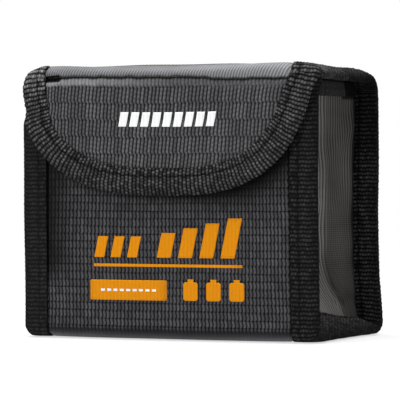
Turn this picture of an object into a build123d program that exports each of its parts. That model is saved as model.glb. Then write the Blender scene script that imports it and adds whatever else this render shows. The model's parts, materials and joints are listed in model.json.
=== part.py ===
from build123d import *
from math import cos, pi, sin
import os

# Soft battery safe bag: a boxy cloth pouch with a fold-over lid and a rounded flap.
#
# The front, bottom and back are one strip of coated cloth. A side panel is set into each end
# of it, and the raw edges of both stand out sideways as a flat fin wrapped in folded tape.
# The lid goes on from the back panel, the flap hangs from the lid's front edge, and a
# hook-and-loop pair holds the flap to the front panel.
#
# Frame: origin at the centre of the base, +Z up, the front faces -Y, +X is the right-hand
# side seen from the front. Lengths are millimetres. "Depth" in the layer names below is
# measured inwards from the outside face of the tape.

# Driving dimensions
WIDTH = 110.0           # over the taped fins
DEPTH = 66.0            # body only, front to back
HEIGHT = 95.0
TAPE_WIDTH = 9.3        # what shows of a 20 mm tape, folded over the edge
TAPE = 0.6              # thickness of one tape leg
CLOTH = 0.5             # coated outer cloth
LINING = 0.4            # glass-fibre lining
PADDING = 2.0           # flame-barrier felt behind the front, bottom and back
PILE = 1.0              # thickness of a hook or loop patch
GAP = 0.05              # air between neighbouring layers
FOLD_RADIUS = 4.0       # bottom folds of the body
BACK_RADIUS = 9.0       # corner between back and lid
LIP_RADIUS = 4.0        # corner between lid and flap
FRONT_TOP = 88.0        # height of the mouth's front and side edges
BACK_TOP = 84.9         # height at which the back panel turns into the lid
SEAM_GAP = 0.2          # air at the two fold lines
CREASE = 90.5           # height of the fold between lid and flap
FLAP_LOW = 50.0         # lowest point of the flap
FLAP_POWER = 2.8        # squareness of the flap's rounded outline
FLAP_TAPER = 0.14       # how fast the flap's sides close in, per unit of height
MOUTH_TAPE = 8.0        # width of the tape along the mouth
STITCH_INSET = 2.8      # stitch line to the tape's inner edge
THREAD_WIDTH = 0.4
THREAD = 0.25           # how far a thread sinks into what it holds
CREASE_DROP = 1.0       # the lid's front stitches lie this far below the fold
PATCH_INSET = 2.0       # stitch frame to the edge of a hook or loop patch
NOTCH_Y = 26.0          # the side panel is lower behind this, clear of the lid's corner
PATCH_WIDTH = 44.0
PATCH_LOW = 63.0
PATCH_HIGH = 78.0

# Printed marks: x is the left end or the middle, z the foot or the middle
PRINT = 0.1             # thickness of the ink
SLANT = 0.2             # sideways lean of the bars, per unit of height
BAR_FOOT = 28.2
SHORT_BARS = 3
SHORT_X, SHORT_PITCH, SHORT_WIDTH, SHORT_HEIGHT = -26.7, 6.2, 3.8, 7.3
TALL_BARS = 4
TALL_X, TALL_PITCH, TALL_WIDTH, TALL_HEIGHT = -3.2, 7.9, 5.2, 8.6
TALL_STEP = 1.7         # each tall bar is this much higher than the last
RULE_X, RULE_Z, RULE_WIDTH, RULE_HEIGHT = 0.8, 25.5, 55.4, 1.0
LABEL_X, LABEL_Z, LABEL_WIDTH, LABEL_HEIGHT = -13.8, 16.9, 28.7, 7.0
LABEL_CORNER = 0.25
DASHES = 9
DASH_PITCH, DASH_WIDTH, DASH_HEIGHT = 2.4, 1.5, 0.8
CELLS = 3
CELL_X, CELL_Z, CELL_PITCH, CELL_WIDTH, CELL_HEIGHT = 9.4, 16.7, 8.5, 5.4, 6.4
CELL_CORNER = 0.7
CAP_Z, CAP_WIDTH, CAP_HEIGHT = 20.4, 2.2, 1.0
STRIPES = 9
STRIPE_X, STRIPE_FOOT, STRIPE_PITCH, STRIPE_WIDTH, STRIPE_HEIGHT = -16.3, 73.5, 4.05, 2.9, 5.0

# Places worked out from them
half_width = WIDTH / 2
half_depth = DEPTH / 2
fin_start = half_width - TAPE_WIDTH
wall_out = fin_start - 2 * GAP
wall_in = wall_out - CLOTH
lining_out = wall_in - GAP
lining_in = lining_out - LINING
strip_end = lining_in - GAP
stitch_x = fin_start + STITCH_INSET

fin_shell = TAPE + GAP
fin_inner = fin_shell + CLOTH + GAP
fin_leg = fin_inner + CLOTH + GAP
fin_total = fin_leg + TAPE
padding_out = CLOTH + GAP
padding_in = padding_out + PADDING
body_lining_out = padding_in + GAP
body_lining_in = body_lining_out + LINING

# Front stack, as distances in front of the front panel
loop_near = GAP
loop_far = loop_near + PILE
hook_near = loop_far + GAP
hook_far = hook_near + PILE
flap_lining_near = hook_far + GAP
flap_lining_far = flap_lining_near + LINING
flap_shell_near = flap_lining_far + GAP
flap_shell_far = flap_shell_near + CLOTH
flap_tape_far = flap_shell_far + GAP + TAPE
flap_tape_near = flap_lining_near - GAP - TAPE
lip_y = -half_depth - flap_tape_far



def trough(plane, outer, inner=None):
    """Section of the front-bottom-back strip between two depths, or all inside one depth."""
    with BuildSketch(plane) as section:
        for depth, mode in ((outer, Mode.ADD), (inner, Mode.SUBTRACT)):
            if depth is None:
                continue
            side = half_depth - depth
            with BuildLine():
                wall = FilletPolyline(
                    (-side, FRONT_TOP), (-side, depth), (side, depth), (side, BACK_TOP),
                    radius=FOLD_RADIUS - depth,
                )
                Polyline(wall @ 1, (NOTCH_Y, BACK_TOP), (NOTCH_Y, FRONT_TOP), wall @ 0)
            make_face(mode=mode)
    return section.sketch


def hood(plane, outer, inner):
    """Section of the lid between two depths, from the back fold line to the front one."""
    back_low = BACK_TOP + SEAM_GAP
    front_low = CREASE + SEAM_GAP
    with BuildSketch(plane) as section:
        for depth, mode in ((outer, Mode.ADD), (inner, Mode.SUBTRACT)):
            with BuildLine():
                roof = FilletPolyline(
                    (half_depth - depth, back_low), (half_depth - depth, HEIGHT - depth),
                    (lip_y + depth, HEIGHT - depth), (lip_y + depth, front_low),
                    radius=(BACK_RADIUS - depth, LIP_RADIUS - depth),
                )
                Polyline(roof @ 1, (0, front_low), (0, back_low), roof @ 0)
            make_face(mode=mode)
    return section.sketch


def tongue(y, inset):
    """The flap's rounded outline, pulled in by inset, on a plane facing the front."""
    across = half_width - inset
    drop = CREASE - FLAP_LOW - inset
    steps = 12
    points = []
    for i in range(1, 2 * steps):
        turn = pi * i / (2 * steps)
        down = drop * sin(turn) ** (2 / FLAP_POWER)
        sideways = (across - FLAP_TAPER * down) * abs(cos(turn)) ** (2 / FLAP_POWER)
        if i > steps:
            sideways = -sideways
        points.append((sideways, CREASE - down))
    with BuildSketch(Plane.XZ.offset(-y)) as section:
        with BuildLine():
            low = Spline(
                (across, CREASE), *points, (-across, CREASE),
                tangents=((-FLAP_TAPER, -1), (-FLAP_TAPER, 1)),
            )
            Line(low @ 1, low @ 0)
        make_face()
        with Locations((0, CREASE)):
            Rectangle(2 * WIDTH, 2 * SEAM_GAP, mode=Mode.SUBTRACT)
    return section.sketch


def bar(x, z, width, height):
    """A leaning bar with its lower left corner at x, z, for the sketch in hand."""
    lean = SLANT * height
    Polygon((x, z), (x + width, z), (x + width + lean, z + height), (x + lean, z + height),
            align=None)


# Body: front, bottom and back in one strip of cloth, stepped in where the tape covers it
with BuildPart() as body_shell:
    extrude(trough(Plane.YZ.offset(-wall_out), 0, CLOTH), amount=2 * wall_out)
    for side in (1, -1):
        extrude(trough(Plane.YZ.offset(side * wall_in), 0, fin_shell + CLOTH), amount=side * CLOTH)
        extrude(trough(Plane.YZ.offset(side * wall_in), fin_shell, fin_shell + CLOTH),
                amount=side * (half_width - fin_shell - wall_in))

with BuildPart() as body_padding:
    extrude(trough(Plane.YZ.offset(-strip_end), padding_out, padding_in), amount=2 * strip_end)

with BuildPart() as body_lining:
    extrude(trough(Plane.YZ.offset(-strip_end), body_lining_out, body_lining_in),
            amount=2 * strip_end)

# Side panels: a web set in at the tape's inner edge, with an edge turned out into the fin
with BuildPart() as right_gusset:
    extrude(trough(Plane.YZ.offset(wall_in), fin_inner), amount=CLOTH)
    extrude(trough(Plane.YZ.offset(wall_in), fin_inner, fin_inner + CLOTH),
            amount=half_width - fin_shell - wall_in)

with BuildPart() as right_lining:
    extrude(trough(Plane.YZ.offset(lining_in), fin_inner), amount=LINING)

# Folded tape round the right-hand fin, with a sunken line for its stitches
with BuildPart() as right_seam_binding:
    extrude(trough(Plane.YZ.offset(fin_start), 0, fin_total), amount=TAPE_WIDTH)
    extrude(trough(Plane.YZ.offset(fin_start), TAPE, fin_leg), amount=TAPE_WIDTH - TAPE,
            mode=Mode.SUBTRACT)
    extrude(trough(Plane.YZ.offset(stitch_x - GAP), 0, THREAD + GAP),
            amount=THREAD_WIDTH + 2 * GAP, mode=Mode.SUBTRACT)

with BuildPart() as right_seam_thread:
    extrude(trough(Plane.YZ.offset(stitch_x), 0, THREAD), amount=THREAD_WIDTH)

# Tape along the mouth: a strip folded over the top edge of the front and of each side
with BuildPart() as front_mouth_binding:
    hem_out = -half_depth - GAP - TAPE
    hem_in = -half_depth + body_lining_in + GAP + TAPE
    hem_top = FRONT_TOP + GAP + TAPE
    with BuildSketch(Plane.YZ.offset(-strip_end)):
        with Locations(((hem_out + hem_in) / 2, hem_top - MOUTH_TAPE / 2)):
            Rectangle(hem_in - hem_out, MOUTH_TAPE)
        with Locations(((hem_out + hem_in) / 2, hem_top - TAPE - MOUTH_TAPE / 2)):
            Rectangle(hem_in - hem_out - 2 * TAPE, MOUTH_TAPE, mode=Mode.SUBTRACT)
    extrude(amount=2 * strip_end)

with BuildPart() as right_mouth_binding:
    side_hem_front = -half_depth + body_lining_in + 2 * GAP + TAPE
    side_hem_back = NOTCH_Y - 4 * GAP
    side_hem_out = wall_out + GAP + TAPE
    side_hem_in = strip_end - TAPE
    with BuildSketch(Plane.XZ.offset(-side_hem_front)):
        with Locations(((side_hem_out + side_hem_in) / 2, hem_top - MOUTH_TAPE / 2)):
            Rectangle(side_hem_out - side_hem_in, MOUTH_TAPE)
        with Locations(((side_hem_out + side_hem_in) / 2, hem_top - TAPE - MOUTH_TAPE / 2)):
            Rectangle(side_hem_out - side_hem_in - 2 * TAPE, MOUTH_TAPE, mode=Mode.SUBTRACT)
    extrude(amount=side_hem_front - side_hem_back)

# Hook-and-loop pair, each with a sunken frame of stitches
patch_middle = (PATCH_LOW + PATCH_HIGH) / 2
patch_height = PATCH_HIGH - PATCH_LOW


def patch(face_y, outward):
    """One patch whose pile faces along outward from face_y, as (patch, thread)."""
    base = Plane((0, face_y, patch_middle), x_dir=(1, 0, 0), z_dir=(0, outward, 0))
    with BuildPart() as pile:
        with BuildSketch(base):
            Rectangle(PATCH_WIDTH, patch_height)
        extrude(amount=-PILE)
        with BuildSketch(base):
            Rectangle(PATCH_WIDTH - 2 * PATCH_INSET, patch_height - 2 * PATCH_INSET)
            inner_inset = 2 * (PATCH_INSET + THREAD_WIDTH + 2 * GAP)
            Rectangle(PATCH_WIDTH - inner_inset, patch_height - inner_inset, mode=Mode.SUBTRACT)
        extrude(amount=-THREAD - 2 * GAP, mode=Mode.SUBTRACT)
    with BuildPart() as thread:
        with BuildSketch(base.offset(-GAP)):
            outer_inset = 2 * (PATCH_INSET + GAP)
            inner_inset = outer_inset + 2 * THREAD_WIDTH
            Rectangle(PATCH_WIDTH - outer_inset, patch_height - outer_inset)
            Rectangle(PATCH_WIDTH - inner_inset, patch_height - inner_inset, mode=Mode.SUBTRACT)
        extrude(amount=-THREAD)
    return pile, thread


loop_patch, loop_thread = patch(-half_depth - loop_far, -1)
hook_patch, hook_thread = patch(-half_depth - hook_near, 1)

# Lid: cloth and lining from the back fold line over the top to the front fold line
with BuildPart() as lid_shell:
    extrude(hood(Plane.YZ.offset(-half_width + fin_shell), fin_shell, fin_shell + CLOTH),
            amount=2 * (half_width - fin_shell))

with BuildPart() as lid_lining:
    extrude(hood(Plane.YZ.offset(-half_width + fin_shell), fin_inner, fin_inner + LINING),
            amount=2 * (half_width - fin_shell))

with BuildPart() as right_lid_binding:
    extrude(hood(Plane.YZ.offset(fin_start), 0, fin_total), amount=TAPE_WIDTH)
    extrude(hood(Plane.YZ.offset(fin_start), TAPE, fin_leg), amount=TAPE_WIDTH - TAPE,
            mode=Mode.SUBTRACT)
    extrude(hood(Plane.YZ.offset(stitch_x - GAP), 0, THREAD + GAP),
            amount=THREAD_WIDTH + 2 * GAP, mode=Mode.SUBTRACT)

with BuildPart() as right_lid_thread:
    extrude(hood(Plane.YZ.offset(stitch_x), 0, THREAD), amount=THREAD_WIDTH)

# Flap: a rounded tongue of cloth and lining, edged with the same folded tape
with BuildPart() as flap_shell:
    extrude(tongue(-half_depth - flap_shell_near, fin_shell), amount=CLOTH)

with BuildPart() as flap_lining:
    extrude(tongue(-half_depth - flap_lining_near, fin_shell), amount=LINING)

with BuildPart() as flap_binding:
    extrude(tongue(-half_depth - flap_tape_near, 0), amount=flap_tape_far - flap_tape_near)
    extrude(tongue(-half_depth - flap_tape_near, TAPE_WIDTH),
            amount=flap_tape_far - flap_tape_near, mode=Mode.SUBTRACT)
    extrude(tongue(-half_depth - flap_tape_near - TAPE, TAPE),
            amount=flap_tape_far - flap_tape_near - 2 * TAPE, mode=Mode.SUBTRACT)
    groove = tongue(lip_y + THREAD + GAP, TAPE_WIDTH - STITCH_INSET - THREAD_WIDTH - GAP)
    extrude(groove - tongue(lip_y + THREAD + GAP, TAPE_WIDTH - STITCH_INSET + GAP),
            amount=THREAD + GAP, mode=Mode.SUBTRACT)

with BuildPart() as flap_thread:
    line = tongue(lip_y + THREAD, TAPE_WIDTH - STITCH_INSET - THREAD_WIDTH)
    extrude(line - tongue(lip_y + THREAD, TAPE_WIDTH - STITCH_INSET), amount=THREAD)

# Stitch line that sets the fold between lid and flap
with BuildPart() as crease_thread:
    crease_line = Plane((0, -half_depth - flap_shell_far - GAP, CREASE - CREASE_DROP),
                        x_dir=(1, 0, 0), z_dir=(0, -1, 0))
    with BuildSketch(crease_line):
        Rectangle(2 * wall_in, THREAD_WIDTH)
    extrude(amount=THREAD)

# Printed marks: generic leaning bars, a rule, a label block and three small cell signs
print_face = Plane.XZ.offset(half_depth + GAP)
with BuildPart() as front_print:
    with BuildSketch(print_face):
        for i in range(SHORT_BARS):
            bar(SHORT_X + SHORT_PITCH * i, BAR_FOOT, SHORT_WIDTH, SHORT_HEIGHT)
        for i in range(TALL_BARS):
            bar(TALL_X + TALL_PITCH * i, BAR_FOOT, TALL_WIDTH, TALL_HEIGHT + TALL_STEP * i)
        with Locations((RULE_X, RULE_Z)):
            Rectangle(RULE_WIDTH, RULE_HEIGHT)
        with Locations((LABEL_X, LABEL_Z)):
            RectangleRounded(LABEL_WIDTH, LABEL_HEIGHT, LABEL_CORNER)
        for i in range(CELLS):
            with Locations((CELL_X + CELL_PITCH * i, CELL_Z)):
                RectangleRounded(CELL_WIDTH, CELL_HEIGHT, CELL_CORNER)
            with Locations((CELL_X + CELL_PITCH * i, CAP_Z)):
                Rectangle(CAP_WIDTH, CAP_HEIGHT)
    extrude(amount=PRINT)

with BuildPart() as label_print:
    with BuildSketch(print_face.offset(PRINT + GAP)):
        with Locations((LABEL_X, LABEL_Z)):
            with GridLocations(DASH_PITCH, DASH_HEIGHT, DASHES, 1):
                Rectangle(DASH_WIDTH, DASH_HEIGHT)
    extrude(amount=PRINT)

with BuildPart() as flap_print:
    with BuildSketch(Plane.XZ.offset(half_depth + flap_shell_far + GAP)):
        for i in range(STRIPES):
            bar(STRIPE_X + STRIPE_PITCH * i, STRIPE_FOOT, STRIPE_WIDTH, STRIPE_HEIGHT)
    extrude(amount=PRINT)

# Left-hand pieces mirror the right-hand ones
with BuildPart() as left_gusset:
    mirror(right_gusset.part, about=Plane.YZ)
with BuildPart() as left_lining:
    mirror(right_lining.part, about=Plane.YZ)
with BuildPart() as left_seam_binding:
    mirror(right_seam_binding.part, about=Plane.YZ)
with BuildPart() as left_seam_thread:
    mirror(right_seam_thread.part, about=Plane.YZ)
with BuildPart() as left_mouth_binding:
    mirror(right_mouth_binding.part, about=Plane.YZ)
with BuildPart() as left_lid_binding:
    mirror(right_lid_binding.part, about=Plane.YZ)
with BuildPart() as left_lid_thread:
    mirror(right_lid_thread.part, about=Plane.YZ)

pieces = {
    "body_shell": body_shell,
    "body_padding": body_padding,
    "body_lining": body_lining,
    "right_gusset": right_gusset,
    "left_gusset": left_gusset,
    "right_lining": right_lining,
    "left_lining": left_lining,
    "right_seam_binding": right_seam_binding,
    "left_seam_binding": left_seam_binding,
    "right_seam_thread": right_seam_thread,
    "left_seam_thread": left_seam_thread,
    "front_mouth_binding": front_mouth_binding,
    "right_mouth_binding": right_mouth_binding,
    "left_mouth_binding": left_mouth_binding,
    "loop_patch": loop_patch,
    "loop_thread": loop_thread,
    "front_print": front_print,
    "label_print": label_print,
    "lid_shell": lid_shell,
    "lid_lining": lid_lining,
    "right_lid_binding": right_lid_binding,
    "left_lid_binding": left_lid_binding,
    "right_lid_thread": right_lid_thread,
    "left_lid_thread": left_lid_thread,
    "flap_shell": flap_shell,
    "flap_lining": flap_lining,
    "flap_binding": flap_binding,
    "flap_thread": flap_thread,
    "crease_thread": crease_thread,
    "hook_patch": hook_patch,
    "hook_thread": hook_thread,
    "flap_print": flap_print,
}

os.makedirs("parts", exist_ok=True)
for name, piece in pieces.items():
    piece.part.label = name
    export_step(piece.part, f"parts/{name}.step")
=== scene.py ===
import json
import math

import bpy
import numpy as np
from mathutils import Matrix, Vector

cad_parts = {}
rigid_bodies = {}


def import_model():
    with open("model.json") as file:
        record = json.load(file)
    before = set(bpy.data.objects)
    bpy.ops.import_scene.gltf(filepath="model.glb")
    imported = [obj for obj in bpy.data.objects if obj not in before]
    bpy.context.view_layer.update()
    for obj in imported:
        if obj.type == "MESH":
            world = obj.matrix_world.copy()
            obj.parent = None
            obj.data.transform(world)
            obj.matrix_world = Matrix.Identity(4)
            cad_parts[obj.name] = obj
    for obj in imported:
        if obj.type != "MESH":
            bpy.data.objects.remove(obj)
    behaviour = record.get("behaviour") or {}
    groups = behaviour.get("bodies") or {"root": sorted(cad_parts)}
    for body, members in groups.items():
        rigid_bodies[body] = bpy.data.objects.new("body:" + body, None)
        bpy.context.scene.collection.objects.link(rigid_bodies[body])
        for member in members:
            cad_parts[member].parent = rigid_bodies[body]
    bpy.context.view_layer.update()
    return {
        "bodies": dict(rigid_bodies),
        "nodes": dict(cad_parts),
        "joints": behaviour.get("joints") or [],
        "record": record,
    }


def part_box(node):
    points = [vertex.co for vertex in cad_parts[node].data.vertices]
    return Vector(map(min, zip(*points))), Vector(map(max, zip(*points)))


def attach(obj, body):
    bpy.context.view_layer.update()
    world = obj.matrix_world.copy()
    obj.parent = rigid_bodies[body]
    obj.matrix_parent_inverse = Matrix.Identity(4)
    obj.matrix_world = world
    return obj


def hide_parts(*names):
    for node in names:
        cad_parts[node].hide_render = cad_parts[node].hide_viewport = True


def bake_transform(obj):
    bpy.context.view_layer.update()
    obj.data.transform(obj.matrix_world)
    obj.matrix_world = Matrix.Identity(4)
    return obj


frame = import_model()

# Looks of a soft battery safe bag. Lengths in this script are millimetres until a mesh is
# made, and the frame is the part's own: +Z up, -Y to the front, +X to the right.
#
# The front, bottom, back, lid and flap are one strip of cloth, so most pieces are drawn flat
# on that strip, at (x, s, depth): x across, s along the strip from the front's top edge, and
# depth inwards from the outside. place_strip() then carries them to where they are sewn.

MM = 0.001


def node_box(node):
    """Lowest and highest corner of a CAD node, in millimetres."""
    low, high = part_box(node)
    return np.array(low) / MM, np.array(high) / MM


SIDES = (("right", 1), ("left", -1))


# ---------------------------------------------------------------- sizes from the frame

seam_low, seam_high = node_box("right_seam_binding")
lid_low, lid_high = node_box("right_lid_binding")
tongue_low, _ = node_box("flap_binding")

half_width = seam_high[0]
half_depth = seam_high[1]
tape_width = seam_high[0] - seam_low[0]
fin_start = seam_low[0]
front_top = seam_high[2]
height = lid_high[2]
lip_y = lid_low[1]
flap_low = tongue_low[2]
crease_z = frame["joints"][1]["pos_m"][2] / MM

HEM = 1.5               # how far the front's cloth runs on above the front seams
FOLD_RADIUS = 4.0       # of the bottom's front and rear fold
BACK_RADIUS = 9.0       # of the fold from the back to the lid
LIP_RADIUS = 4.3        # of the fold from the lid to the flap
BACK_SEAM_TOP = 66.0    # height up to which the seam tape covers the back's edges
TAPE = 0.6              # thickness of the tape
CLOTH = 0.5             # thickness of a side panel's cloth
FIN = 2.35              # thickness of a taped fin
CORD = 1.46             # pitch of the tape's cross cords
KNOT = 1.12             # pitch of the knots along a cord
LINING_PITCH = 1.1      # pitch of the lining's check
RIB = 1.37              # pitch of the cloth's ribs
RIB_HEIGHT = 0.30
LIP_RIB = 1.05          # pitch of the stripes in the painted reflection on the lid's front lip
LIP_LEAN = 3.4          # how far along the strip one of them takes to cross a pitch
SIDE_RIB = 1.3          # pitch of the side panels' finer ribs
SIDE_THREAD = 0.78      # pitch of their cross threads
SEGMENT = 1.55          # length of the pale and dark stretches along a rib
STRAND_GAP = 0.35       # how dark the line is that parts a rib's two strands
CELL = 2.66             # pitch of the body cloth's cross lines
FLAP_CELL = 5.8         # pitch of the kinks in the flap cloth's ribs
STITCH = 2.7            # pitch of the stitches
STITCH_INSET = 3.0      # stitch line to the tape's inner edge
FINE_STITCH = 2.4       # pitch of the stitches along the crease and round the closure
PATCH_INSET = 2.2       # their line to a closure patch's edge
PAD_START = 0.6         # where the padding and linings start, below the front's top edge
LEFT_POWER = 2.7        # squareness of the flap's outline, left and right of the middle
RIGHT_POWER = 2.9
LEFT_TAPER = 0.08       # how fast the flap's sides close in, per millimetre down
RIGHT_TAPER = 0.20
FOLD_BAND = 3.9         # plain band along the front's bottom fold
FLAP_INSET = 3.0        # outline of the cloth under the tape, to the tape's outer edge
SIDE_REACH = 31.5       # half the width of a side panel
SIDE_FOOT = 1.5         # height of its lower edge
SIDE_FOLD = 13.5        # its rear fold, behind the middle
GRAIN_TONE = 0.3        # tone of the sides that a piece turns inwards

# Outer and inner depth of the strip's layers, below the outside of the bag.
CLOTH_LAYER = (0.05, 1.25)
PAD_LAYER = (1.3, 2.7)
LINING_LAYER = (2.75, 3.15)
LID_LINING_LAYER = (1.35, 1.75)

front_edge = front_top + HEM    # top edge of the front and side panels; there s is 0


# ---------------------------------------------------------------- lines and curves

def ease(value, start, end):
    """0 before start, 1 after end, smooth between."""
    t = np.clip((value - start) / (end - start), 0, 1)
    return t * t * (3 - 2 * t)


def hump(value, centre, width):
    """1 at the centre, fading to either side."""
    return np.exp(-((value - centre) / width) ** 2)


def scatter(a, b):
    """A repeatable value from 0 to 1 for each pair of whole numbers."""
    value = np.sin(a * 12.9898 + b * 78.233) * 43758.5453
    return value - np.floor(value)


def beside(*values):
    """A table with these columns; a single number fills its whole column."""
    return np.stack(np.broadcast_arrays(*(np.ravel(value) for value in values)), axis=1)


def run_length(points):
    """Distance from a line's first point to each of its points, along the line."""
    return np.concatenate([[0], np.cumsum(np.linalg.norm(np.diff(points, axis=0), axis=1))])


def taken_at(t, length, values):
    """Rows of values along a line, at the distances t."""
    return np.stack([np.interp(t, length, column) for column in values.T], axis=1)


def unit(vectors):
    return vectors / np.linalg.norm(vectors, axis=1)[:, None]


# ---------------------------------------------------------------- the strip's path

def rounded_path(corners, radii, step):
    """Positions along straight runs joined by arcs, and their distances from the start."""
    corners = [np.array(c, float) for c in corners]
    points = [corners[0]]
    for before, corner, after, radius in zip(corners, corners[1:], corners[2:], radii):
        into = (corner - before) / np.linalg.norm(corner - before)
        out = (after - corner) / np.linalg.norm(after - corner)
        turn = math.acos(np.clip(into @ out, -1, 1))
        reach = radius * math.tan(turn / 2)
        side = np.array([-into[1], into[0]])
        if side @ out < 0:
            side = -side
        centre = corner - into * reach + side * radius
        count = max(4, int(radius * turn / step))
        for angle in np.linspace(0, turn, count + 1):
            points.append(centre - side * radius * math.cos(angle)
                          + into * radius * math.sin(angle))
    points.append(corners[-1])
    dense = [points[0]]
    for a, b in zip(points, points[1:]):
        count = max(1, int(np.linalg.norm(b - a) / step))
        dense += [a + (b - a) * k / count for k in range(1, count + 1)]
    dense = np.array(dense)
    return dense, run_length(dense)


path, path_s = rounded_path(
    [(-half_depth, front_edge), (-half_depth, 0), (half_depth, 0),
     (half_depth, height), (lip_y, height), (lip_y, flap_low)],
    [FOLD_RADIUS, FOLD_RADIUS, BACK_RADIUS, LIP_RADIUS], 0.4)
path_tangent = unit(np.gradient(path, path_s, axis=0))
path_normal = beside(path_tangent[:, 1], -path_tangent[:, 0])

s_end = path_s[-1]
s_crease = s_end - (crease_z - flap_low)
s_mid_lid = s_crease - (height - crease_z) - LIP_RADIUS / 2 - half_depth
fold_run = FOLD_RADIUS * math.pi / 2
front_run = front_edge - FOLD_RADIUS + fold_run
bottom_run = 2 * half_depth - 2 * FOLD_RADIUS
s_bottom = front_run + bottom_run / 2
s_back_top = front_run + bottom_run + fold_run + BACK_SEAM_TOP - FOLD_RADIUS
flap_zero = s_crease + crease_z     # on the flap, height is this less s


def flap_reach(s, inset, side):
    """Distance from the middle to the flap's outline at s, pulled in by inset."""
    power, taper = (RIGHT_POWER, RIGHT_TAPER) if side > 0 else (LEFT_POWER, LEFT_TAPER)
    down = np.clip(s - s_crease, 0, crease_z - flap_low - inset)
    fall = down / (crease_z - flap_low - inset)
    return (half_width - inset - taper * down) * (1 - fall ** power) ** (1 / power)


def droop(x, s):
    """How far the fins sag inwards at the tape's outer edge."""
    out = np.maximum(np.abs(x) - fin_start + 1.0, 0)
    back = ease(s, s_back_top - 12, s_back_top + 20)
    lid = back * (1 - ease(s, s_crease - 10, s_crease))
    base = ease(s, front_run - 8, front_run) * (1 - ease(s, s_bottom + 24, s_bottom + 34))
    slope = 0.20 * lid + 0.05 * (1 - lid) * (1 - base) * (s < s_mid_lid)
    return slope * out ** 1.15


# ---------------------------------------------------------------- how the cloth comes to lie

CLOTH_SCALE = 0.02      # Blender units per millimetre while the cloth is simulated
CLOTH_FRAMES = 24
CLOTH_PITCH = 2.6       # spacing of the simulated grids
STRIP_CAP = 1.5         # furthest that a point may move, on the strip and on the side panels
SIDE_CAP = 3.0
STRIP_PUSH = -0.1       # pressure: the padding pushes the strip out, and the sides are drawn in
SIDE_PUSH = -0.1
STRIP_SLACK = 0.003     # how much longer than its place the cloth is cut
SIDE_SLACK = 0.015


def add_object(name, data):
    obj = bpy.data.objects.new(name, data)
    bpy.context.scene.collection.objects.link(obj)
    return obj


def simulate(rest, pinned, push, slack):
    """Runs Blender's cloth on a grid of points, and gives how far each of them moves."""
    rows, columns = rest.shape[:2]
    index = np.arange(rows * columns).reshape(rows, columns)
    quads = np.stack([index[:-1, :-1], index[:-1, 1:], index[1:, 1:], index[1:, :-1]], axis=-1)
    mesh = bpy.data.meshes.new("drape")
    mesh.from_pydata((rest.reshape(-1, 3) * CLOTH_SCALE).tolist(), [],
                     quads.reshape(-1, 4).tolist())
    obj = add_object("drape", mesh)
    obj.vertex_groups.new(name="sewn").add(index[pinned].tolist(), 1.0, "REPLACE")
    cloth = obj.modifiers.new("Cloth", "CLOTH")
    settings = cloth.settings
    settings.quality = 6
    settings.vertex_group_mass = "sewn"
    settings.pin_stiffness = 50
    settings.tension_stiffness = settings.compression_stiffness = 60
    settings.shear_stiffness = 20
    settings.bending_stiffness = 0.5
    settings.use_pressure = True
    settings.uniform_pressure_force = push
    settings.shrink_min = -slack
    cloth.collision_settings.use_collision = False
    cloth.point_cache.frame_end = CLOTH_FRAMES
    for frame in range(1, CLOTH_FRAMES + 1):
        bpy.context.scene.frame_set(frame)
    settled = obj.evaluated_get(bpy.context.evaluated_depsgraph_get())
    points = np.empty(rows * columns * 3, np.float32)
    settled.to_mesh().vertices.foreach_get("co", points)
    settled.to_mesh_clear()
    bpy.data.objects.remove(obj)
    bpy.data.meshes.remove(mesh)
    bpy.context.scene.frame_set(1)
    return points.reshape(rows, columns, 3) / CLOTH_SCALE - rest


def spline(place):
    """First of the four grid lines that carry each place, and the cubic weights of all four."""
    first = np.floor(place)
    t = place - first
    weights = np.stack([(1 - t) ** 3, 3 * t ** 3 - 6 * t ** 2 + 4,
                        -3 * t ** 3 + 3 * t ** 2 + 3 * t + 1, t ** 3]) / 6
    return first.astype(int) - 1, weights


class Drape:
    """A simulated sheet's way out of its plane, smooth between the grid's points."""

    def __init__(self, a, b, move, cap):
        self.start = a[0], b[0]
        self.step = a[1] - a[0], b[1] - b[0]
        self.move = cap * np.tanh(move / cap)

    def __call__(self, a, b):
        rows, columns = self.move.shape
        j, across = spline((a - self.start[0]) / self.step[0])
        i, down = spline((b - self.start[1]) / self.step[1])
        total = 0.0
        for m in range(4):
            for n in range(4):
                picked = self.move[np.clip(i + m, 0, rows - 1), np.clip(j + n, 0, columns - 1)]
                total = total + down[m] * across[n] * picked
        return total


def drape_strip():
    """The strip between its fins. The base, the crease and the closure hold it in place."""
    x = np.linspace(-fin_start, fin_start, int(2 * fin_start / CLOTH_PITCH))
    s = np.linspace(0, s_end, int(s_end / CLOTH_PITCH))
    grid_x, grid_s = np.meshgrid(x, s)
    rest, out = (
        np.stack([across, *(np.interp(grid_s, path_s, line[:, k]) for k in (0, 1))], axis=-1)
        for across, line in ((grid_x, path), (0 * grid_x, path_normal)))
    side, closed = np.abs(grid_x), np.zeros(grid_x.shape, bool)
    for node, zero in (("loop_patch", front_edge), ("hook_patch", flap_zero)):
        low, high = node_box(node)
        closed |= (side < high[0]) & (grid_s > zero - high[2]) & (grid_s < zero - low[2])
    base = (grid_s > front_run) & (grid_s < front_run + bottom_run)
    tongue = (grid_s > s_crease) & (side > flap_reach(grid_s, tape_width, 1))
    pinned = (side > fin_start - 1) | base | closed | tongue | (abs(grid_s - s_crease) < 1.5)
    move = simulate(rest, pinned, STRIP_PUSH, STRIP_SLACK)
    return Drape(x, s, (move * out).sum(axis=-1), STRIP_CAP)


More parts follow.
